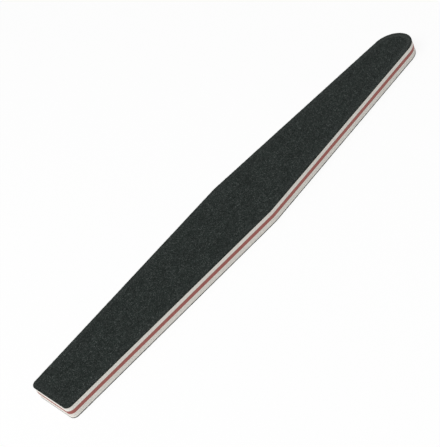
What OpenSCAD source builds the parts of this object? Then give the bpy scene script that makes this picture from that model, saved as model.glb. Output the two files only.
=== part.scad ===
// Cushioned emery board: a flat laminate with an abrasive sheet on both faces.
// It is square at one end, widest half way along, and tapers to a round tip.
// The origin is the middle of the underside. +X runs towards the round tip, +Y across the board, +Z up.

/* [Outline] */
// Length from the square end to the round tip
board_length = 178; // [140:1:240]
// Width at the shoulders, where the board is widest
shoulder_width = 28; // [24:0.5:40]
// Width at the square end, before its corners are rounded
square_end_width = 20; // [12:0.5:24]
// Distance from the square end to the shoulders
shoulder_distance = 89; // [60:1:110]
// Radius of the round tip
tip_radius = 7.5; // [5:0.25:10]
// Radius of the two corners of the square end
corner_radius = 2.1; // [0.5:0.1:4]
// Radius that blends the two tapers at each shoulder
shoulder_radius = 12; // [5:0.5:12]

/* [Layers] */
// Thickness of the stiff plastic core
core_thickness = 1.3; // [0.6:0.1:2]
// Thickness of the adhesive film on each face of the core
core_adhesive_thickness = 0.05; // [0.03:0.01:0.1]
// Thickness of the foam pad above the core, once the cutting die has squeezed it
upper_foam_thickness = 1.3; // [1:0.05:3]
// Thickness of the foam pad below the core
lower_foam_thickness = 1.6; // [1:0.05:3]
// Thickness of the adhesive film between a foam pad and its abrasive sheet
sheet_adhesive_thickness = 0.05; // [0.03:0.01:0.1]
// Thickness of the backing paper of an abrasive sheet
paper_thickness = 0.2; // [0.1:0.01:0.3]
// Thickness of the resin coat that holds the abrasive grains on the paper
bond_thickness = 0.05; // [0.03:0.01:0.1]
// Height of the bed of abrasive grains
grit_height = 0.1; // [0.05:0.01:0.2]

/* [Foam edge] */
// How far the foam's cut edge draws in at mid-thickness, where the cutting die squeezed it
foam_edge_depth = 0.15; // [0.05:0.01:0.25]
// Height of the straight band left along the top and the bottom of the foam's cut edge
foam_edge_band = 0.1; // [0.05:0.01:0.2]

/* [Hidden] */
$fa = 3;
$fs = 0.2;

grit_colour = "#2e3230";
bond_colour = "#232624";
paper_colour = "#1d1f1e";
adhesive_colour = "#ece6d2";
foam_colour = "#e4e1da";
core_colour = "#a36b63";

// Height of each layer's underside, from the table up
lower_bond_z = grit_height;
lower_paper_z = lower_bond_z + bond_thickness;
lower_sheet_adhesive_z = lower_paper_z + paper_thickness;
lower_foam_z = lower_sheet_adhesive_z + sheet_adhesive_thickness;
lower_core_adhesive_z = lower_foam_z + lower_foam_thickness;
core_z = lower_core_adhesive_z + core_adhesive_thickness;
upper_core_adhesive_z = core_z + core_thickness;
upper_foam_z = upper_core_adhesive_z + core_adhesive_thickness;
upper_sheet_adhesive_z = upper_foam_z + upper_foam_thickness;
upper_paper_z = upper_sheet_adhesive_z + sheet_adhesive_thickness;
upper_bond_z = upper_paper_z + paper_thickness;
upper_grit_z = upper_bond_z + bond_thickness;

// The outline runs counterclockwise round five arcs: two corners, two shoulders and the tip, joined by straight sides.
square_end_x = -board_length / 2;
corner_centre = [square_end_x + corner_radius, square_end_width / 2 - corner_radius];
shoulder_centre = [square_end_x + shoulder_distance, shoulder_width / 2 - shoulder_radius];
tip_centre = [board_length / 2 - tip_radius, 0];
arc_centres = [
    [corner_centre.x, -corner_centre.y],
    [shoulder_centre.x, -shoulder_centre.y],
    tip_centre,
    shoulder_centre,
    corner_centre
];
arc_radii = [corner_radius, shoulder_radius, tip_radius, shoulder_radius, corner_radius];
last_arc = len(arc_centres) - 1;

// Each arc stands this little proud of the sides it joins, so that they cross there instead of only touching.
arc_lap = 0.01;

function next(i) = i == last_arc ? 0 : i + 1;
function previous(i) = i == 0 ? last_arc : i - 1;
function along(angle) = [cos(angle), sin(angle)];

// Direction that the side between arc i and the next one faces
function side_faces(i) =
    let (step = arc_centres[next(i)] - arc_centres[i])
    atan2(step.y, step.x) - 90 + asin((arc_radii[i] - arc_radii[next(i)]) / norm(step));

// Where that side starts and ends
function side_start(i) = arc_centres[i] + (arc_radii[i] - arc_lap) * along(side_faces(i));
function side_end(i) = arc_centres[next(i)] + (arc_radii[next(i)] - arc_lap) * along(side_faces(i));

// The board seen from above
module outline() {
    polygon([for (i = [0 : last_arc]) each [side_start(i), side_end(i)]]);
    for (i = [0 : last_arc])
        translate(arc_centres[i]) circle(arc_radii[i]);
}

// One layer of the board, cut to the outline
module layer(thickness) {
    linear_extrude(thickness) outline();
}

// Revolves a section along arc i: its x is the distance out from the arc, its y the height.
module arc_stretch(i) {
    translate(arc_centres[i])
        rotate(side_faces(previous(i)))
            rotate_extrude(angle = (side_faces(i) - side_faces(previous(i)) + 360) % 360)
                translate([arc_radii[i], 0]) children();
}

// Extrudes a section along the side after arc i, and a little past both of its ends, where the outline curves away.
module straight_stretch(i) {
    side = side_end(i) - side_start(i);
    overrun = corner_radius / 2;
    translate(side_end(i) + overrun * side / norm(side))
        rotate([90, 0, side_faces(i)])
            linear_extrude(norm(side) + 2 * overrun)
                children();
}

// Carries a section once round the outline: its x is the distance out from the edge, its y the height.
module around_edge() {
    for (i = [0 : last_arc]) {
        arc_stretch(i) children();
        straight_stretch(i) children();
    }
}

// A layer of foam, whose cut edge is hollow between two straight bands
module foam_layer(thickness) {
    hollow_half_height = thickness / 2 - foam_edge_band;
    hollow_radius = (hollow_half_height ^ 2 + foam_edge_depth ^ 2) / (2 * foam_edge_depth);
    difference() {
        layer(thickness);
        around_edge()
            translate([hollow_radius - foam_edge_depth, thickness / 2])
                circle(hollow_radius);
    }
}

module lower_grit() {
    color(grit_colour) layer(grit_height);
}

module lower_grit_bond() {
    color(bond_colour) translate([0, 0, lower_bond_z]) layer(bond_thickness);
}

module lower_backing_paper() {
    color(paper_colour) translate([0, 0, lower_paper_z]) layer(paper_thickness);
}

module lower_sheet_adhesive() {
    color(adhesive_colour) translate([0, 0, lower_sheet_adhesive_z]) layer(sheet_adhesive_thickness);
}

module lower_foam_pad() {
    color(foam_colour) translate([0, 0, lower_foam_z]) foam_layer(lower_foam_thickness);
}

module lower_core_adhesive() {
    color(adhesive_colour) translate([0, 0, lower_core_adhesive_z]) layer(core_adhesive_thickness);
}

module core() {
    color(core_colour) translate([0, 0, core_z]) layer(core_thickness);
}

module upper_core_adhesive() {
    color(adhesive_colour) translate([0, 0, upper_core_adhesive_z]) layer(core_adhesive_thickness);
}

module upper_foam_pad() {
    color(foam_colour) translate([0, 0, upper_foam_z]) foam_layer(upper_foam_thickness);
}

module upper_sheet_adhesive() {
    color(adhesive_colour) translate([0, 0, upper_sheet_adhesive_z]) layer(sheet_adhesive_thickness);
}

module upper_backing_paper() {
    color(paper_colour) translate([0, 0, upper_paper_z]) layer(paper_thickness);
}

module upper_grit_bond() {
    color(bond_colour) translate([0, 0, upper_bond_z]) layer(bond_thickness);
}

module upper_grit() {
    color(grit_colour) translate([0, 0, upper_grit_z]) layer(grit_height);
}

lower_grit();
lower_grit_bond();
lower_backing_paper();
lower_sheet_adhesive();
lower_foam_pad();
lower_core_adhesive();
core();
upper_core_adhesive();
upper_foam_pad();
upper_sheet_adhesive();
upper_backing_paper();
upper_grit_bond();
upper_grit();
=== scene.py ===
"""The looks of a cushioned emery board, built around its packed layers.

Lengths are in metres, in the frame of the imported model: the origin is the middle of the underside,
+X runs towards the round tip, +Y across the board and +Z up.
"""

import math

import bpy
import numpy as np
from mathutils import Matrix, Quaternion, Vector, geometry, noise


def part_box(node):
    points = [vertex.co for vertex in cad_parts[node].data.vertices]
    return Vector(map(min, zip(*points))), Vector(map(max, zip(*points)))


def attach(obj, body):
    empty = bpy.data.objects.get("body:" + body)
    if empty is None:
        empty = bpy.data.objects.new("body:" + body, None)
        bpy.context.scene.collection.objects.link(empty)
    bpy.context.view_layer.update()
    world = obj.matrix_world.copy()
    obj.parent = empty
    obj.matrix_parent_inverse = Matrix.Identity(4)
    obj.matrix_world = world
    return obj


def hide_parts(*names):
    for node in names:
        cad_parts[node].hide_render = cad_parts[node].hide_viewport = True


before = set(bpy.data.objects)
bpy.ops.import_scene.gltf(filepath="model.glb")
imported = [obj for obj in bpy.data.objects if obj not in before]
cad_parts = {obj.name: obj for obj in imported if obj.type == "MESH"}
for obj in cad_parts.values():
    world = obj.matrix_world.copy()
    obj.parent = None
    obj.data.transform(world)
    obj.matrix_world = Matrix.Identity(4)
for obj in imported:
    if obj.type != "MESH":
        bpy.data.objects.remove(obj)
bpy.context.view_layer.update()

MM = 0.001
SEED = 20
rng = np.random.default_rng(SEED)

# Outline of the board, which every layer shares
core_low, core_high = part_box("core")
SQUARE_END_X = core_low.x
TIP_X = core_high.x
SHOULDER_WIDTH = core_high.y - core_low.y
SHOULDER_DISTANCE = 89 * MM
SQUARE_END_WIDTH = 20 * MM
TIP_RADIUS = 7.5 * MM
CORNER_RADIUS = 2.1 * MM
SHOULDER_RADIUS = 12 * MM
TANGENT_STEP = 3  # degrees

# Foam pads: the cut edge is hollow between two straight bands, and its cells are open along it
FOAM_EDGE_DEPTH = 0.15 * MM
FOAM_EDGE_BAND = 0.1 * MM
FOAM_EDGE_ROWS = 11
FOAM_STEP = 0.2 * MM
FOAM_CELL = 0.34 * MM
FOAM_PIT_DEPTH = 0.05 * MM
FOAM_PIT_REACH = 0.6  # of a cell

# Beds of abrasive grains
GRAIN_SPACING = 0.25 * MM
GRAIN_JITTER = 0.7  # of the spacing
GRAIN_RELIEF = 0.09 * MM
RIM_GAP = 0.6 * GRAIN_SPACING
MERGE_DISTANCE = 1e-6 * MM  # points that lie nearer to each other than this become one

# Wear of the abrasive sheets, in a band inside the rim
WORN_DEPTH = 1.3 * MM
WORN_REACH = 1.1 * MM
WORN_TIP_LENGTH = 16 * MM
WORN_SIDE_SHARE = 0.35
WORN_SINK = 0.5  # of the relief, at the least, where a grain is fully worn

# Spans of a noise's values over which a colour changes
SHARP_SPAN = (0.3, 0.7)
SOFT_SPAN = (0.25, 0.75)

# Numbers of a Mix node's sockets for colours, which share their names with its other sockets
MIX_SHARE = 0
MIX_FIRST = 6
MIX_SECOND = 7
MIX_RESULT = 2

# Floor and light, with angles in degrees. The ambient and the key's share of light add up to 1
FLOOR_SIZE = 4.0
FLOOR_WHITE = 0.97
FLOOR_ROUGHNESS = 0.9
BACKDROP_SHARE = 0.88  # of plain white in what is seen of the floor
AMBIENT = 0.5
KEY_SHARE = 0.5
KEY_DISTANCE = 0.85
KEY_SIZE = 0.72
KEY_AZIMUTH = -90
KEY_ELEVATION = 56

# Camera, with angles in degrees
CAMERA_TARGET = Vector((-9.743, 2.261, 2.55)) * MM
CAMERA_DISTANCE = 371.801 * MM
CAMERA_AZIMUTH = -26.369
CAMERA_ELEVATION = 37.213
CAMERA_ROLL = -29.049
CAMERA_LENS = 91.928
CAMERA_NEAR = 0.01
CAMERA_FAR = 20


# Outline

def arcs():
    """Centre and radius of the outline's five arcs, counterclockwise from the corner at -Y."""
    corner = (SQUARE_END_X + CORNER_RADIUS, SQUARE_END_WIDTH / 2 - CORNER_RADIUS)
    shoulder = (SQUARE_END_X + SHOULDER_DISTANCE, SHOULDER_WIDTH / 2 - SHOULDER_RADIUS)
    return [
        ((corner[0], -corner[1]), CORNER_RADIUS),
        ((shoulder[0], -shoulder[1]), SHOULDER_RADIUS),
        ((TIP_X - TIP_RADIUS, 0), TIP_RADIUS),
        (shoulder, SHOULDER_RADIUS),
        (corner, CORNER_RADIUS),
    ]


def side_facings():
    """The direction that the straight side after each arc faces, as an angle in radians."""
    facings = []
    for (centre, radius), (next_centre, next_radius) in zip(arcs(), arcs()[1:] + arcs()[:1]):
        step = np.subtract(next_centre, centre)
        lean = math.asin((radius - next_radius) / np.hypot(*step))
        facings.append(math.atan2(step[1], step[0]) - math.pi / 2 + lean)
    return facings


def ways(angles):
    """The flat direction of each angle in radians."""
    return np.stack([np.cos(angles), np.sin(angles)], 1)


def edge_points(step):
    """Points round the outline, counterclockwise, a step apart at most, and the way out at each."""
    points = []
    ways_out = []
    facings = side_facings()
    for i, (centre, radius) in enumerate(arcs()):
        turn = (facings[i] - facings[i - 1]) % (2 * math.pi)
        out = ways(facings[i] - turn * np.linspace(1, 0, math.ceil(radius * turn / step) + 1))
        points.append(centre + radius * out)
        ways_out.append(out)
        next_centre, next_radius = arcs()[(i + 1) % len(facings)]
        start = points[-1][-1]
        side = next_centre + next_radius * out[-1] - start
        share = np.linspace(0, 1, math.ceil(np.hypot(*side) / step) + 1)[1:-1]
        points.append(start + share[:, None] * side)
        ways_out.append(np.repeat(out[-1:], len(share), 0))
    return np.concatenate(points), np.concatenate(ways_out)


def depth_inside(points):
    """How far inside the outline each point lies. It is convex, so the nearest tangent tells."""
    out = ways(np.concatenate([np.radians(np.arange(0, 360, TANGENT_STEP)), side_facings()]))
    reach = np.max([out @ centre + radius for centre, radius in arcs()], 0)
    return (reach - points @ out.T).min(1)


def wear(points):
    """How worn the sheet is at each point, from 0 to 1.

    It wears where it bends over the soft rim of the foam, and most round the tip.
    """
    bend = np.clip(1 - abs(depth_inside(points) - WORN_DEPTH) / WORN_REACH, 0, 1)
    tip = np.clip(1 - (TIP_X - points[:, 0]) / WORN_TIP_LENGTH, 0, 1)
    return bend * (WORN_SIDE_SHARE + (1 - WORN_SIDE_SHARE) * tip)


# Meshes

def new_piece(name, points, faces, look, node):
    """A mesh piece that rides on the board and stands for one of its nodes."""
    mesh = bpy.data.meshes.new(name)
    mesh.from_pydata(np.asarray(points).tolist(), [], faces)
    mesh.materials.append(look)
    mesh.validate()
    piece = bpy.data.objects.new(name, mesh)
    bpy.context.scene.collection.objects.link(piece)
    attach(piece, "root")
    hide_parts(node)
    return piece


def store(piece, name, domain, values):
    """Stores a number for each POINT or FACE of a piece, for its material to read."""
    attribute = piece.data.attributes.new(name, "FLOAT", domain)
    attribute.data.foreach_set("value", np.asarray(values, np.float32))


def walls(lower, upper, count):
    """Faces between two rings of the same count that start at these point numbers, facing out."""
    following = [(i + 1) % count for i in range(count)]
    return [(lower + i, lower + j, upper + j, upper + i) for i, j in enumerate(following)]


def at_height(points, z):
    """Flat points lifted to z, a number or one for each."""
    return np.column_stack([points, np.broadcast_to(z, len(points))])


def loose_lattice():
    """Flat points of a lattice of triangles, each moved a little, inside the outline's rim gap."""
    row_height = GRAIN_SPACING * math.sin(math.pi / 3)
    across = np.arange(-SHOULDER_WIDTH / 2, SHOULDER_WIDTH / 2, row_height)
    along = np.arange(SQUARE_END_X, TIP_X, GRAIN_SPACING)
    shifts = [GRAIN_SPACING / 2 * (row % 2) for row in range(len(across))]
    lattice = np.array([(x + shift, y) for shift, y in zip(shifts, across) for x in along])
    points = lattice + GRAIN_SPACING * GRAIN_JITTER * (rng.random(lattice.shape) - 0.5)
    return points[depth_inside(points) > RIM_GAP]


def triangles(points, rim_count):
    """Triangles over flat points, inside the rim that the first rim_count of them draw."""
    rim = [(i, (i + 1) % rim_count) for i in range(rim_count)]
    inside_only = 1
    made = geometry.delaunay_2d_cdt(points.tolist(), rim, [], inside_only, MERGE_DISTANCE)
    _, _, faces, *_ = made
    return faces


def grain_bed(name, node, look, facing):
    """A bed of abrasive grains, one to each point of a lattice. facing is 1 up and -1 down."""
    edge = edge_points(GRAIN_SPACING)[0]
    flat = np.concatenate([edge, loose_lattice()])
    low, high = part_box(node)
    face_z, back_z = (high.z, low.z) if facing > 0 else (low.z, high.z)
    worn = wear(flat)
    least_sunk = WORN_SINK * worn
    sunk = GRAIN_RELIEF * (rng.random(len(flat)) * (1 - least_sunk) + least_sunk)
    points = np.concatenate([at_height(flat, face_z - facing * sunk), at_height(edge, back_z)])

    count = len(edge)
    back = len(flat)
    cap = tuple(reversed(range(back, back + count)))
    faces = [*triangles(flat, count), *walls(back, 0, count), cap]
    if facing < 0:
        faces = [tuple(reversed(face)) for face in faces]
    piece = new_piece(name, points, faces, look, node)
    store(piece, "worn", "POINT", np.append(worn, worn[:count]))
    store(piece, "facet", "FACE", rng.random(len(piece.data.polygons)))
    return piece


def hollow_at(offset, half_height):
    """How far the foam's cut edge draws in at this offset from mid height. The hollow is an arc."""
    radius = (half_height**2 + FOAM_EDGE_DEPTH**2) / (2 * FOAM_EDGE_DEPTH)
    return max(0, FOAM_EDGE_DEPTH - radius + math.sqrt(radius**2 - offset**2))


def cells_away(point):
    """How far a point is from the centre of the nearest cell of the foam, in cells."""
    distances, _ = noise.voronoi(Vector(point) / FOAM_CELL)
    return distances[0]


def pits_at(points):
    """How deep the open cells of the foam go at each point. They are deepest at a cell's centre."""
    away = np.array([cells_away(point) for point in points])
    return FOAM_PIT_DEPTH * np.clip(1 - away / FOAM_PIT_REACH, 0, 1)


def foam_pad(name, node, look):
    """A foam pad whose cut edge draws in between two straight bands and is pitted by open cells."""
    low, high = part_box(node)
    middle = (low.z + high.z) / 2
    half_height = (high.z - low.z) / 2 - FOAM_EDGE_BAND
    hollow_heights = np.linspace(middle - half_height, middle + half_height, FOAM_EDGE_ROWS)
    edge, out = edge_points(FOAM_STEP)
    rings = []
    for z in [low.z, *hollow_heights, high.z]:
        hollow = hollow_at(z - middle, half_height)
        inward = hollow + pits_at(at_height(edge - hollow * out, z))
        rings.append(at_height(edge - inward[:, None] * out, z))

    count = len(edge)
    starts = [ring * count for ring in range(len(rings))]
    sides = [face for start in starts[:-1] for face in walls(start, start + count, count)]
    bottom = tuple(reversed(range(count)))
    top = tuple(range(starts[-1], starts[-1] + count))
    piece = new_piece(name, np.concatenate(rings), [*sides, bottom, top], look, node)
    piece.data.polygons.foreach_set("use_smooth", [True] * len(sides) + [False, False])
    return piece


# Nodes of the materials

def new_look(name, gloss):
    """An empty node material and its shader. gloss is the shader's specular level."""
    look = bpy.data.materials.new(name)
    look.use_nodes = True
    shader = look.node_tree.nodes["Principled BSDF"]
    shader.inputs["Specular IOR Level"].default_value = gloss
    return look, shader


def add(look, kind, inputs=None, **settings):
    """Adds a node to a material or the world. Its inputs take values or other nodes' outputs."""
    node = look.node_tree.nodes.new("ShaderNode" + kind)
    for setting, value in settings.items():
        setattr(node, setting, value)
    for socket, value in (inputs or {}).items():
        if isinstance(value, bpy.types.NodeSocket):
            look.node_tree.links.new(value, node.inputs[socket])
        else:
            node.inputs[socket].default_value = value
    return node


def grey(level):
    """An opaque grey."""
    return (level, level, level, 1)


def tint(red, green, blue):
    """An opaque colour."""
    return (red, green, blue, 1)


def place(look):
    """Where a point of the surface is, in metres in the frame."""
    return add(look, "TexCoord").outputs["Object"]


def stored(look, name):
    """The number that a piece stores under this name."""
    return add(look, "Attribute", attribute_name=name).outputs["Fac"]


def spread(look, value, low, high):
    """Carries a value from 0 to 1 over to the range from low to high."""
    return add(look, "MapRange", {"Value": value, "To Min": low, "To Max": high}).outputs["Result"]


def combine(look, operation, first, second):
    """The result of a Math node's operation on two values."""
    return add(look, "Math", {0: first, 1: second}, operation=operation).outputs["Value"]


def noise_of(look, size, detail=2.0, stretch=(1, 1, 1)):
    """A soft random value from 0 to 1 that changes over this size, or longer along stretched axes.

    detail is how many finer and weaker layers it has.
    """
    scale = [1 / size / s for s in stretch]
    mapping = add(look, "Mapping", {"Vector": place(look), "Scale": scale}, vector_type="POINT")
    spot = mapping.outputs["Vector"]
    return add(look, "TexNoise", {"Vector": spot, "Scale": 1.0, "Detail": detail}).outputs["Fac"]


def cells(look, size):
    """Random cells: the distance to the centre in cells, and two random values of the cell."""
    texture = add(look, "TexVoronoi", {"Vector": place(look), "Scale": 1 / size})
    random = add(look, "SeparateColor", {"Color": texture.outputs["Color"]})
    return texture.outputs["Distance"], random.outputs["Red"], random.outputs["Green"]


def ramp(look, share, stops):
    """A colour for each share, from (share, colour) stops."""
    node = add(look, "ValToRGB", {"Fac": share})
    steps = node.color_ramp.elements
    for step, (position, colour) in zip([steps[0], steps[1]], [stops[0], stops[-1]]):
        step.position = position
        step.color = colour
    for position, colour in stops[1:-1]:
        steps.new(position).color = colour
    return node.outputs["Color"]


def shade(look, share, first, last, span=SHARP_SPAN):
    """A colour that goes from the first to the last over a span of shares."""
    return ramp(look, share, list(zip(span, (first, last))))


def mix(look, share, first, second, blend="MIX"):
    """Mixes two colours."""
    inputs = {MIX_SHARE: share, MIX_FIRST: first, MIX_SECOND: second}
    return add(look, "Mix", inputs, data_type="RGBA", blend_type=blend).outputs[MIX_RESULT]


def vary(look, colour, share, least, most, span=SOFT_SPAN):
    """Makes a colour darker and lighter: from times least to times most over a span of shares."""
    factor = shade(look, share, grey(least), grey(most), span)
    return mix(look, 1.0, colour, factor, blend="MULTIPLY")


def finish_look(look, shader, colour, roughness, height, relief):
    """Links a material's colour, roughness and bump. A height of 0 to 1 stands for the relief."""
    links = look.node_tree.links
    links.new(colour, shader.inputs["Base Color"])
    links.new(roughness, shader.inputs["Roughness"])
    bump = add(look, "Bump", {"Height": height, "Distance": relief, "Strength": 1.0})
    links.new(bump.outputs["Normal"], shader.inputs["Normal"])
    return look


# Materials of the board

def abrasive_look():
    """Black abrasive: silicon carbide facets and chips in their own greys, painted glints, paler
    where worn.
    """
    look, shader = new_look("black_abrasive", gloss=0.04)
    deep_black = tint(0.0072, 0.0103, 0.0090)
    black = tint(0.0125, 0.0172, 0.0153)
    pale_black = tint(0.024, 0.0302, 0.0275)
    # Painted glint: the palest facets carry a highlight painted into their colour
    painted_glint = tint(0.088, 0.096, 0.092)
    worn_black = tint(0.053, 0.060, 0.057)
    stops = [(0.0, deep_black), (0.5, black), (0.85, pale_black), (1.0, painted_glint)]
    colour = ramp(look, stored(look, "facet"), stops)
    chip_distance, chip_tone, chip_gloss = cells(look, size=0.1 * MM)
    colour = vary(look, colour, chip_tone, least=0.6, most=1.4, span=(0.0, 1.0))
    colour = vary(look, colour, noise_of(look, size=1.6 * MM), least=0.75, most=1.27)
    colour = vary(look, colour, noise_of(look, size=6 * MM), least=0.9, most=1.18)
    chips_worn = spread(look, chip_tone, low=0.2, high=0.9)
    patch = combine(look, "MULTIPLY", stored(look, "worn"), chips_worn)
    colour = mix(look, patch, colour, worn_black)
    roughness = spread(look, chip_gloss, low=0.3, high=0.7)
    height = spread(look, chip_distance, low=1, high=0)
    return finish_look(look, shader, colour, roughness, height, relief=0.04 * MM)


def resin_look():
    """Black resin coat under the grains."""
    look, shader = new_look("black_resin", gloss=0.15)
    cloud = noise_of(look, size=0.6 * MM)
    colour = shade(look, cloud, grey(0.008), grey(0.018))
    roughness = spread(look, cloud, low=0.35, high=0.55)
    ripple = noise_of(look, size=0.15 * MM)
    return finish_look(look, shader, colour, roughness, ripple, relief=0.01 * MM)


def paper_look():
    """Black backing paper, whose fibres show as fine flat streaks along the cut."""
    look, shader = new_look("black_paper", gloss=0.1)
    fibre = noise_of(look, size=0.05 * MM, detail=3.0, stretch=(12, 12, 1))
    colour = shade(look, fibre, grey(0.007), grey(0.026))
    roughness = spread(look, fibre, low=0.7, high=0.9)
    return finish_look(look, shader, colour, roughness, fibre, relief=0.02 * MM)


def adhesive_look():
    """Cream adhesive film."""
    look, shader = new_look("cream_adhesive", gloss=0.4)
    cloud = noise_of(look, size=0.7 * MM)
    colour = shade(look, cloud, tint(0.62, 0.58, 0.47), tint(0.76, 0.72, 0.61))
    roughness = spread(look, cloud, low=0.3, high=0.5)
    ripple = noise_of(look, size=0.1 * MM)
    return finish_look(look, shader, colour, roughness, ripple, relief=0.01 * MM)


def foam_look():
    """Off-white closed-cell foam, with painted shade inside the cells that the cut opened."""
    look, shader = new_look("white_foam", gloss=0.2)
    distance = cells(look, size=0.12 * MM)[0]
    # Painted shade: the colour darkens towards the centre of each open cell, where shade falls
    inside = tint(0.70, 0.68, 0.63)
    wall = tint(0.84, 0.82, 0.765)
    colour = shade(look, distance, inside, wall, span=(0.0, 0.45))
    cloud = noise_of(look, size=2.5 * MM)
    colour = vary(look, colour, cloud, least=0.94, most=1.0)
    roughness = spread(look, cloud, low=0.8, high=0.95)
    return finish_look(look, shader, colour, roughness, distance, relief=0.03 * MM)


def core_look():
    """Dusty red plastic, with upright lines where the die sheared it."""
    look, shader = new_look("red_plastic", gloss=0.25)
    shear = noise_of(look, size=0.12 * MM, detail=3.0, stretch=(1, 1, 25))
    colour = shade(look, shear, tint(0.325, 0.100, 0.086), tint(0.42, 0.132, 0.113))
    colour = vary(look, colour, noise_of(look, size=3 * MM), least=0.92, most=1.0)
    roughness = spread(look, shear, low=0.35, high=0.6)
    return finish_look(look, shader, colour, roughness, shear, relief=0.02 * MM)


# Floor, light and camera

def seen_by_eye(look):
    """1 for a ray that comes from the camera, straight or by way of gloss or glass, else 0."""
    path = add(look, "LightPath").outputs
    shiny = combine(look, "MAXIMUM", path["Is Glossy Ray"], path["Is Transmission Ray"])
    return combine(look, "MAXIMUM", path["Is Camera Ray"], shiny)


def floor_look():
    """A white floor, seen as plain white but for a little of its own shading and shadow."""
    look, shader = new_look("white_floor", gloss=0.0)
    shader.inputs["Base Color"].default_value = grey(FLOOR_WHITE)
    shader.inputs["Roughness"].default_value = FLOOR_ROUGHNESS
    white = add(look, "Emission", {"Color": grey(1.0), "Strength": 1.0})
    share = spread(look, seen_by_eye(look), low=0.0, high=BACKDROP_SHARE)
    # The two shaders go by number, because their sockets share one name
    inputs = {"Fac": share, 1: shader.outputs["BSDF"], 2: white.outputs["Emission"]}
    blend = add(look, "MixShader", inputs)
    output = look.node_tree.nodes["Material Output"]
    look.node_tree.links.new(blend.outputs["Shader"], output.inputs["Surface"])
    return look


def add_floor():
    """A floor at the height of the board's underside."""
    bpy.ops.mesh.primitive_plane_add(size=FLOOR_SIZE)
    floor = bpy.context.object
    floor.name = "floor"
    floor.data.materials.append(floor_look())


def add_world():
    """White all round: at the ambient strength as light, at full white where it is seen."""
    world = bpy.data.worlds.new("studio")
    bpy.context.scene.world = world
    world.use_nodes = True
    background = world.node_tree.nodes["Background"]
    background.inputs["Color"].default_value = grey(1.0)
    strength = spread(world, seen_by_eye(world), low=AMBIENT, high=1.0)
    world.node_tree.links.new(strength, background.inputs["Strength"])


def direction(azimuth, elevation):
    """The way from the board to what looks at it, in degrees. Azimuth 0 is -Y and 90 is +X."""
    turn = math.radians(azimuth)
    rise = math.radians(elevation)
    flat = math.cos(rise)
    return Vector((math.sin(turn) * flat, -math.cos(turn) * flat, math.sin(rise)))


def set_up(item, target, back, distance, roll=0):
    """Puts a lamp or camera at a distance back from its target, facing it and rolled by degrees."""
    item.location = target + back * distance
    item.rotation_mode = "QUATERNION"
    rolled = Quaternion((0, 0, 1), math.radians(roll))
    item.rotation_quaternion = back.to_track_quat("Z", "Y") @ rolled
    bpy.context.scene.collection.objects.link(item)


def add_key():
    """A large soft lamp that adds its share of plain light to a level surface at the board.

    Straight above, (pi * distance) ** 2 watts would light a white surface to full white.
    """
    lamp = bpy.data.lights.new("key", "AREA")
    lamp.shape = "DISK"
    lamp.size = KEY_SIZE
    full_white = (math.pi * KEY_DISTANCE) ** 2 / math.sin(math.radians(KEY_ELEVATION))
    lamp.energy = KEY_SHARE * full_white
    key = bpy.data.objects.new("key", lamp)
    key.visible_camera = False
    set_up(key, Vector(), direction(KEY_AZIMUTH, KEY_ELEVATION), KEY_DISTANCE)


def add_camera():
    """The camera, at the photograph's viewing angle."""
    camera = bpy.data.objects.new("camera", bpy.data.cameras.new("camera"))
    camera.data.lens = CAMERA_LENS
    camera.data.clip_start = CAMERA_NEAR
    camera.data.clip_end = CAMERA_FAR
    back = direction(CAMERA_AZIMUTH, CAMERA_ELEVATION)
    set_up(camera, CAMERA_TARGET, back, CAMERA_DISTANCE, CAMERA_ROLL)
    bpy.context.scene.camera = camera


# The whole scene

def dress(node, look):
    """Gives a packed layer its material."""
    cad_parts[node].material_slots[0].material = look


grit = abrasive_look()
foam = foam_look()
grain_bed("upper_grain_bed", "upper_grit", grit, facing=1)
grain_bed("lower_grain_bed", "lower_grit", grit, facing=-1)
foam_pad("upper_foam_cushion", "upper_foam_pad", foam)
foam_pad("lower_foam_cushion", "lower_foam_pad", foam)

resin = resin_look()
paper = paper_look()
adhesive = adhesive_look()
for side in ("upper", "lower"):
    dress(f"{side}_grit_bond", resin)
    dress(f"{side}_backing_paper", paper)
    dress(f"{side}_sheet_adhesive", adhesive)
    dress(f"{side}_core_adhesive", adhesive)
dress("core", core_look())

add_floor()
add_world()
add_key()
add_camera()
bpy.context.scene.view_settings.view_transform = "Standard"
